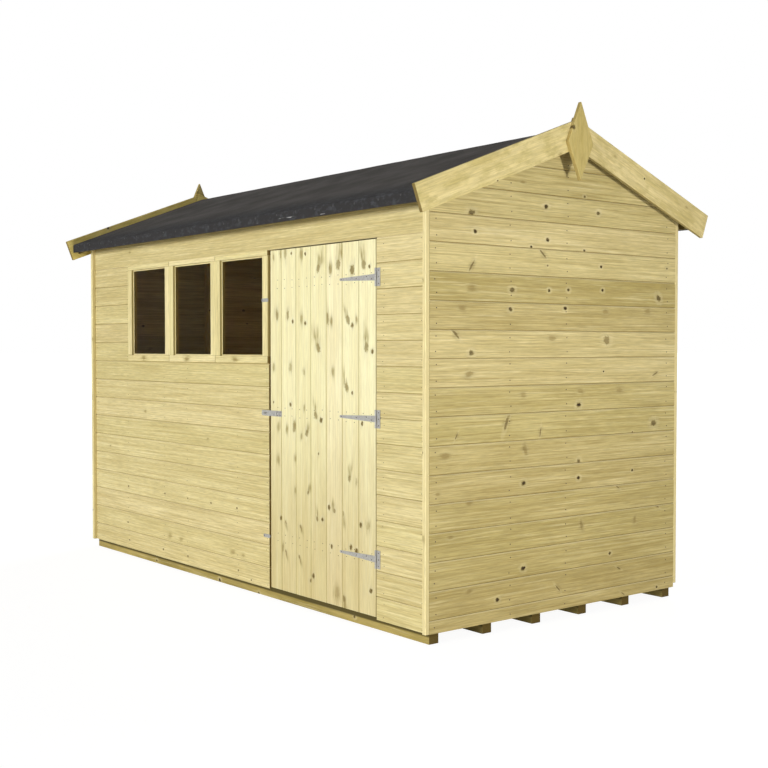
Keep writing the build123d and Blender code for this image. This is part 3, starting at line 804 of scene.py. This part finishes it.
doorKnots = {  # from the middle of the front
    "smudge": ((41, 160, 4), (47, 161, 6), (51, 161.5, 8), (64, 160, 7), (64, 131, 6), (87, 129.5, 5),
        (105, 130, 4), (41, 109, 5), (55, 109, 6), (66, 107, 4), (88, 107.5, 5), (66, 91, 4),
        (52, 80.5, 5), (64, 78, 4), (59, 67.6, 4), (59, 53, 4), (48, 25, 7)),
    "dead": ((56, 161, 4), (67, 160, 4), (114, 152, 4), (57, 130, 5), (67, 129, 5), (102, 127.6, 6),
        (116, 116.5, 5), (102, 98.8, 4), (41, 92.6, 3), (55, 92, 5), (79, 86, 6), (109, 86, 5),
        (85, 48, 6), (80, 42, 5), (47, 39, 5), (108, 43, 6), (87, 31, 5), (101, 32.5, 6), (105, 31.5, 6),
        (73, 16, 6), (71, 13.5, 5), (115, 16, 6)),
    "comet": ((77, 153, 8, 20), (92, 154, 10, 14), (110, 153, 9, -14), (99, 130, 9, -28),
        (77, 118, 9, -20), (112, 118, 9, -3), (98, 101, 8, -22), (75, 88, 7, -16), (68, 79.6, 7, 25),
        (100, 62, 6, 8), (69, 53, 4, 30), (89, 47, 5, -20), (76, 42, 5, -12)),
    "streak": ((86, 152, 6), (44, 133, 6), (53, 133, 6, 3), (84, 130.5, 7, -6), (58, 82, 7, 4)),
    "live": ((102, 151, 10), (77, 71, 3)),
    "ghost": ((45, 81.5, 7), (45, 66, 7), (105, 61, 5), (113, 43, 7), (91, 11.5, 10)),
    "tail": ((95, 46.5, 6, -12), (51, 37.5, 4, -24), (63, 37, 4, -24), (51, 24, 4, -24), (62, 23, 4, -24),
        (96, 9.5, 7, -12)),
}


def layLeaf():  # the door's upright boards, the left one ripped to width
    low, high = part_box("door_leaf")
    cover = boarding["doorCover"]
    edges = np.arange(high.x, low.x + 0.001, -cover)
    places = [Matrix.Translation((x, low.y, low.z)) @ upright for x in edges]
    boards = layBoards(high.z - low.z + 0.01, cover, places,
                       ((0, 0, high.z), (0, 0, 1)), ((low.x, 0, 0), (-1, 0, 0)))
    for x, board in zip(edges, boards):
        knots = chosenKnots(doorKnots, lambda along, up: x - cover <= along < x, True)
        markGrain(board, (0, 0, 1), (1, 0, 0), knots)
    fitTo(boards, "door_boards", "door", "door_leaf", doorWood)


def layFloor():
    low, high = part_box("floor_deck")
    cover = boarding["floorCover"]
    along, across = Vector((0, 1, 0)), Vector((1, 0, 0))
    lefts = np.arange(low.x, high.x - 0.001, cover)
    places = [Matrix.Translation((x + cover, low.y, high.z)) @ flat for x in lefts]
    boards = layBoards(high.y - low.y + 0.01, cover, places,
                       ((0, high.y, 0), (0, 1, 0)), ((high.x, 0, 0), (1, 0, 0)), ((low.x, 0, 0), (-1, 0, 0)))
    for board in boards:
        markGrain(board, along, across, chanceKnots(board, along, across, boarding["floorKnots"]))
    fitTo(boards, "floor_boards", "shed", "floor_deck", framingWood)


def layRoofBoards(end, side):  # side is -1 at the front, 1 at the back
    low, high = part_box("roof_boards_" + end)
    cover = boarding["roofCover"]
    reach = max(abs(low.y), abs(high.y))
    angle = math.atan(slope)
    along = Vector((1, 0, 0))
    down = Vector((0, side * math.cos(angle), -math.sin(angle)))
    out = Vector((0, side * math.sin(angle), math.cos(angle)))
    turn = Matrix((along, out, down)).transposed().to_4x4()
    ridge = Vector((low.x, 0, apex))
    runs = np.arange(0, reach / math.cos(angle) - 0.001, cover)
    places = [Matrix.Translation(ridge + down * run) @ turn for run in runs]
    boards = layBoards(high.x - low.x, cover, places,
                       ((0, 0, 0), (0, -side, 0)), ((0, side * reach, 0), (0, side, 0)))
    for board in boards:
        openUp(board)
        faceOutwards()
        closeUp()
        markGrain(board, along, down, chanceKnots(board, along, down, boarding["roofKnots"]))
    fitTo(boards, "roof_boarding_" + end, "shed", "roof_boards_" + end, framingWood)


layLeaf()
for part in ("ledge", "brace"):
    dressTimber(f"door_{part}s", f"door_{part}_timbers", trimWood, "door")
layFloor()
layRoofBoards("front", -1)
layRoofBoards("back", 1)
print("door, floor and roof boarded")

for node in ("front_wall_studs", "front_wall_rails", "back_wall_studs", "back_wall_rails", "gable_studs",
             "gable_rails", "gable_rafters", "purlins"):
    dressTimber(node, node + "_sawn", framingWood)
for node in ("eave_battens", "verge_battens_back", "verge_battens_front"):
    dressTimber(node, node + "_sawn", vergeShadeWood)
dressTimber("bearers", "bearers_sawn", bearerWood, face=(0, -1, 0), spacing=0.8)
dressTimber("front_wall_top_board", "front_top_board", wallWood, spacing=1.6, tone=0.95)
for end in ("front_left", "front_right", "back_left", "back_right"):
    dressTimber("corner_strip_" + end, f"corner_strip_{end}_planed", stripWood, face=(0, -1, 0),
                arris=0.002, spacing=0.5)
bargeTones = {"left_back": 0.0, "left_front": 0.0, "right_back": 0.35, "right_front": 0.2}
for end, tone in bargeTones.items():
    wood = litLeftBargeWood if end.startswith("left") else bargeWood
    dressTimber("barge_board_" + end, f"barge_board_{end}_planed", wood, arris=0.002,
                spacing=0.45, tone=tone)
for end in ("left", "right"):
    dressTimber("finial_" + end, f"finial_{end}_planed", finialWood, along=(0, 0, 1),
                arris=0.0022, spacing=0.3)
print("timbers dressed")

windowSizes = {
    "stile": 0.045, "bottomRail": 0.033, "topRail": 0.024, "bead": 0.007, "beadSet": 0.012, "pane": 0.004,
    "joint": 0.0007, "arris": 0.0018, "beadArris": 0.0012, "knotShare": 0.4, "knotUp": 0.016,
    "knotRadius": 0.009,
}


def stick(low, high, along, arris, knots=()):
    obj = block("stick", low, high)
    grain, across = ownAxes(obj, along, (0, -1, 0))
    softenArris(obj, arris)
    markGrain(obj, grain, across, knots)
    return obj


def makeWindow(number):
    s, node = windowSizes, f"window_frame_{number}"
    low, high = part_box(node)
    x0, x1, y0, y1 = low.x + s["joint"], high.x - s["joint"], low.y, high.y
    railTop, railLow = low.z + s["bottomRail"], high.z - s["topRail"]
    left, right = low.x + s["stile"], high.x - s["stile"]
    b0, b1, bead = y0 + s["beadSet"], y1 - s["pane"], s["bead"]
    railKnot = (low.x + s["knotShare"] * (high.x - low.x), low.z + s["knotUp"], s["knotRadius"], "smudge")
    lengthwise, upwards = (1, 0, 0), (0, 0, 1)
    parts = [
        stick((x0, y0, low.z), (x1, y1, railTop), lengthwise, s["arris"], [railKnot]),
        stick((x0, y0, railLow), (x1, y1, high.z), lengthwise, s["arris"]),
        stick((low.x, y0, railTop), (left, y1, railLow), upwards, s["arris"]),
        stick((right, y0, railTop), (high.x, y1, railLow), upwards, s["arris"]),
    ]
    for x in (left, right - bead):
        parts.append(stick((x, b0, railTop + bead), (x + bead, b1, railLow - bead), upwards, s["beadArris"]))
    for z in (railTop, railLow - bead):
        parts.append(stick((left, b0, z), (right, b1, z + bead), lengthwise, s["beadArris"]))
    fitTo(parts, node + "_jointed", "shed", node, trimWood)


for number in (1, 2, 3):
    makeWindow(number)
coat(frame["nodes"]["window_panes"], glassFinish)
print("windows glazed")

feltSizes = {
    "board": 0.012, "thick": 0.004, "lap": 0.075, "lapSteps": 4, "wave": 0.0022, "waveSize": 0.22,
    "across": 170, "down": 46, "fall": 6, "bend": 0.006,
}


def layFelt(end, side):
    s = feltSizes
    low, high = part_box("felt_" + end)
    angle = math.atan(slope)
    eave = max(abs(low.y), abs(high.y))
    top = apex + (s["board"] + s["thick"]) / math.cos(angle)
    edgeTop = top - slope * eave
    takeUp()
    bpy.ops.mesh.primitive_grid_add(x_subdivisions=s["across"], y_subdivisions=s["down"], size=1)
    sheet = bpy.context.object
    sheet.scale = (high.x - low.x, eave / math.cos(angle), 1)
    sheet.rotation_euler = (-side * angle, 0, 0)
    sheet.location = (0, side * eave / 2, top - slope * eave / 2)
    settle()
    openUp(sheet, "EDGE")
    atEave = lambda c: abs(abs(c.y) - eave) < 0.0005
    pick(sheet, "edges", lambda c, d: atEave(c))
    for _ in range(s["fall"]):  # turned down over the eave
        pullOut(0, 0, (low.z - edgeTop) / s["fall"])
    pick(sheet, "edges", lambda c, d: atEave(c) and abs(c.z - edgeTop) < 0.0005)
    bpy.ops.mesh.bevel(offset=s["bend"], segments=3, affect="EDGES")
    if side < 0:  # the front sheet laps over the ridge
        pick(sheet, "edges", lambda c, d: abs(c.y) < 0.0005 and abs(d.x) > 0.9)
        over = s["lap"] / s["lapSteps"]
        for _ in range(s["lapSteps"]):
            pullOut(0, over, -slope * over)
    faceOutwards()
    closeUp()
    if sum(p.normal.z * p.area for p in sheet.data.polygons) < 0:
        openUp(sheet)
        bpy.ops.mesh.select_all(action="SELECT")
        bpy.ops.mesh.flip_normals()
        closeUp()
    texture = bpy.data.textures.new("felt_wave", "CLOUDS")
    texture.noise_scale = s["waveSize"]
    texture.noise_depth = 2
    modify(sheet, "DISPLACE", texture=texture, texture_coords="GLOBAL", strength=s["wave"], mid_level=0.8)
    modify(sheet, "SOLIDIFY", thickness=s["thick"] * 0.7, offset=-1)
    bpy.ops.object.shade_smooth_by_angle(angle=math.radians(40))
    fitTo([sheet], "felt_sheet_" + end, "shed", "felt_" + end, feltFinish)


layFelt("back", 1)
layFelt("front", -1)
print("felt laid")

nailing = {
    "radius": 0.0026, "small": 0.0016, "height": 0.0008, "dome": (0.3, -0.4), "edge": 0.01, "verge": 0.03,
    "parts": (0.24, 0.76), "gable": (-0.73, -0.32, 0.02, 0.70), "back": (-1.49, -0.76, 0.0, 0.76, 1.49),
    "front": (-1.48, -1.09, -0.66, -0.41, 0.09, 0.35), "besideDoor": (1.235, 1.48),
    "ledges": (0.298, 0.884, 1.473), "ledgeRise": 0.018, "ledgeEdge": 0.03, "ledgeGap": 0.059,
    "clout": 0.0045, "cloutRun": (-1.52, 1.53, 0.15), "cloutHeight": 1.772,
}


def discHead(vertices, radius, depth, *rims):  # a disc facing -Y; each rim is an inset and a push along Y
    takeUp()
    bpy.ops.mesh.primitive_cylinder_add(vertices=vertices, radius=radius, depth=depth,
                                        rotation=(math.pi / 2, 0, 0))
    head = bpy.context.object
    settle()
    openUp(head)
    pick(head, "faces", lambda c, n: n.y < -0.9)
    for inset, push in rims:
        bpy.ops.mesh.inset(thickness=radius * inset)
        bpy.ops.transform.translate(value=(0, push, 0))
    closeUp()
    return head


def nailHead(radius):  # slightly domed
    rim, rise = nailing["dome"]
    return discHead(8, radius, nailing["height"] * 2, (rim, rise * nailing["height"]))


def screwHead():  # countersunk, with a round recess
    return discHead(16, fixings["radius"], fixings["height"], *fixings["rims"])


def driveAll(pattern, spots, name, body="shed", finish=nailFinish):
    heads = []
    for spot, turn in spots:
        head = another(pattern)
        head.data.transform(Matrix.Translation(spot) @ turn)
        heads.append(head)
    bpy.data.objects.remove(pattern)
    fitTo(heads, name, body, None, finish)


def wobble(amount=0.006):
    return chance.uniform(-amount, amount)


def wallNails(node, facing, columns, cover, first):
    low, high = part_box(node)
    face = min((facing.inverted() @ low).y, (facing.inverted() @ high).y)
    spots = []
    for z in courses(node, cover, first):
        for x in columns:
            roof = apex - slope * abs(x) - nailing["verge"] if node.endswith("gable") else high.z
            for part in nailing["parts"]:
                spot = Vector((x + wobble(), face, z + part * cover + wobble()))
                if low.z + nailing["edge"] < spot.z < min(high.z - nailing["edge"], roof):
                    spots.append((facing @ spot, facing))
    return spots


def doorNails():
    low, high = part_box("door_leaf")
    spots = []
    for z in nailing["ledges"]:
        for x in np.arange(high.x - nailing["ledgeEdge"], low.x + 0.01, -nailing["ledgeGap"]):
            for rise in (-nailing["ledgeRise"], nailing["ledgeRise"]):
                spots.append((Vector((x + wobble(0.003), low.y, z + rise + wobble(0.004))), facingFront))
    return spots


def cloutSpots():
    spots = []
    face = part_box("felt_back")[1].y + 0.0002
    for side, facing in ((-1, facingFront), (1, facingBack)):
        for x in np.arange(*nailing["cloutRun"]):
            spot = (x + wobble(0.02), side * face, nailing["cloutHeight"] + wobble(0.004))
            spots.append((Vector(spot), facing))
    return spots


nailSpots = []
for node, facing, columns in (("right_gable", facingRight, "gable"), ("left_gable", facingLeft, "gable"),
                              ("back_wall", facingBack, "back")):
    nailSpots += wallNails(node, facing, nailing[columns], *gableRule)
frontSpots = []
for spot, columns in (("below_windows", nailing["front"]), ("beside_windows", nailing["front"][:2]),
                      ("beside_door", nailing["besideDoor"])):
    frontSpots += wallNails("front_wall_" + spot, facingFront, columns, *frontRule)
driveAll(nailHead(nailing["radius"]), nailSpots, "wall_nails")
driveAll(nailHead(nailing["small"]), frontSpots, "front_nails")
driveAll(nailHead(nailing["small"] * 1.2), doorNails(), "door_nails", "door")
driveAll(nailHead(nailing["clout"]), cloutSpots(), "felt_clouts", finish=cloutFinish)

fixings = {
    "plateX": 0.018, "plateZ": (-0.027, 0.0, 0.027), "haspX": (0.014, 0.027, 0.040),
    "haspZ": (-0.008, 0.008), "strap": ((0.030, -0.006), (0.064, 0.005), (0.135, 0), (0.242, 0)),
    "stapleX": (-0.013, 0.013), "stapleZ": (-0.007, 0.007), "sink": 0.0012, "buttonEnd": 0.008,
    "buttonPlate": 0.003, "radius": 0.0025, "height": 0.002, "rims": ((0.25, -0.0003), (0.4, 0.0006)),
}


def fixingSpots():
    f, leaf, staple, buttons = fixings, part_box("door_leaf"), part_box("staple"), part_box("turn_buttons")
    front = leaf[0].y
    face = front - f["sink"]
    axes = {joint["name"]: joint["pos_m"] for joint in frame["joints"]}
    axisX, haspX, haspZ = axes["door_swing"][0], axes["hasp_swing"][0], axes["hasp_swing"][2]
    stapleX = (staple[0].x + staple[1].x) / 2
    buttonX, lowest, highest = buttons[0].x + f["buttonEnd"], buttons[0].z, buttons[1].z
    onWall = [(axisX + f["plateX"], face, z + rise) for z in nailing["ledges"] for rise in f["plateZ"]]
    onWall += [(stapleX + x, face, haspZ + z) for x in f["stapleX"] for z in f["stapleZ"]]
    onWall += [(buttonX, front - f["buttonPlate"], lowest + f["buttonEnd"]),
               (buttonX, buttons[0].y, highest - f["buttonEnd"])]
    onDoor = [(axisX - reach, face, z + rise) for z in nailing["ledges"] for reach, rise in f["strap"]]
    onDoor += [(haspX + x, face, haspZ + z) for x in f["haspX"] for z in f["haspZ"]]
    return [[(Vector(spot), facingFront) for spot in spots] for spots in (onWall, onDoor)]


wallFixings, doorFixings = fixingSpots()
driveAll(screwHead(), wallFixings, "wall_screws")
driveAll(screwHead(), doorFixings, "door_screws", "door")
for node, obj in frame["nodes"].items():
    if node.startswith(("hinge_", "hasp_", "staple", "turn_")):
        coat(obj, steel)
print("nails and screws in")

stageLooks = {
    "floor": 0.86, "floorSize": 400, "glow": 1.15, "near": 2.5, "far": 9.0, "nearShare": 0.80, "fill": 0.18,
    "lamps": {  # where, towards, size and power
        "gable_lamp": ((5.7, -0.8, 0.85), (1.5, 0.0, 1.1), 0.35, 130),
        "front_lamp": ((3.0, -20.8, 3.0), (-0.2, -0.76, 0.95), 5.0, 3400),
        "rear_lamp": ((-4.5, 7.0, 3.0), (-0.6, 0.6, 0.9), 3.0, 420),
    },
    "camera": (5.0694, -3.8057, 1.1823), "turned": (math.pi / 2 - 0.0309, 0.0, 0.9015), "lens": 55.72,
    "shift": 0.003,
}


def shownWhite(kind, share, body, white):  # camera, glossy and transmission rays see the plain white
    rays = newNode("LightPath").outputs
    seen = calc("MAXIMUM", rays["Is Glossy Ray"], rays["Is Transmission Ray"])
    seen = calc("MAXIMUM", rays["Is Camera Ray"], seen)
    mix = newNode("MixShader", {0: times(seen, share), 1: body.outputs[0], 2: white.outputs[0]})
    newNode("Output" + kind, {0: mix.outputs[0]})


def paleFloor():
    looks = stageLooks
    takeUp()
    bpy.ops.mesh.primitive_plane_add(size=looks["floorSize"], location=(0, 0, 0))
    floor = bpy.context.object
    floor.name = "studio_floor"
    material = newMaterial("pale_floor")[0]
    material.node_tree.nodes.clear()
    x, y = splitVector(objectPlace())[0:2]
    away = calc("SQRT", calc("MULTIPLY_ADD", x, x, times(y, y)))
    share = remap(away, looks["near"], looks["far"], looks["nearShare"], 1.0)
    body = newNode("BsdfDiffuse", {"Color": (*[looks["floor"]] * 3, 1)})
    shownWhite("Material", share, body, newNode("Emission", {"Strength": looks["glow"]}))
    coat(floor, material)


def whiteSurround():
    world = bpy.data.worlds.new("surround")
    bpy.context.scene.world = world
    world.use_nodes = True
    bench["tree"] = world.node_tree
    world.node_tree.nodes.clear()
    fill, white = (
        newNode("Background", {"Color": (1, 1, 1, 1), "Strength": strength})
        for strength in (stageLooks["fill"], 1.0))
    shownWhite("World", 1.0, fill, white)


def hangLamp(name, where, towards, size, power):
    lamp = bpy.data.objects.new(name, bpy.data.lights.new(name, "AREA"))
    lamp.data.size = size
    lamp.data.energy = power
    lamp.location = where
    lamp.rotation_euler = (Vector(towards) - Vector(where)).to_track_quat("-Z", "Y").to_euler()
    lamp.visible_camera = False
    bpy.context.collection.objects.link(lamp)


paleFloor()
whiteSurround()
for name, setting in stageLooks["lamps"].items():
    hangLamp(name, *setting)

camera = bpy.data.objects.new("camera", bpy.data.cameras.new("camera"))
camera.location = stageLooks["camera"]
camera.rotation_euler = stageLooks["turned"]
camera.data.lens = stageLooks["lens"]
camera.data.shift_x = stageLooks["shift"]
bpy.context.collection.objects.link(camera)
bpy.context.scene.camera = camera
bpy.context.scene.view_settings.view_transform = "Standard"

takeUp()
print("scene complete")
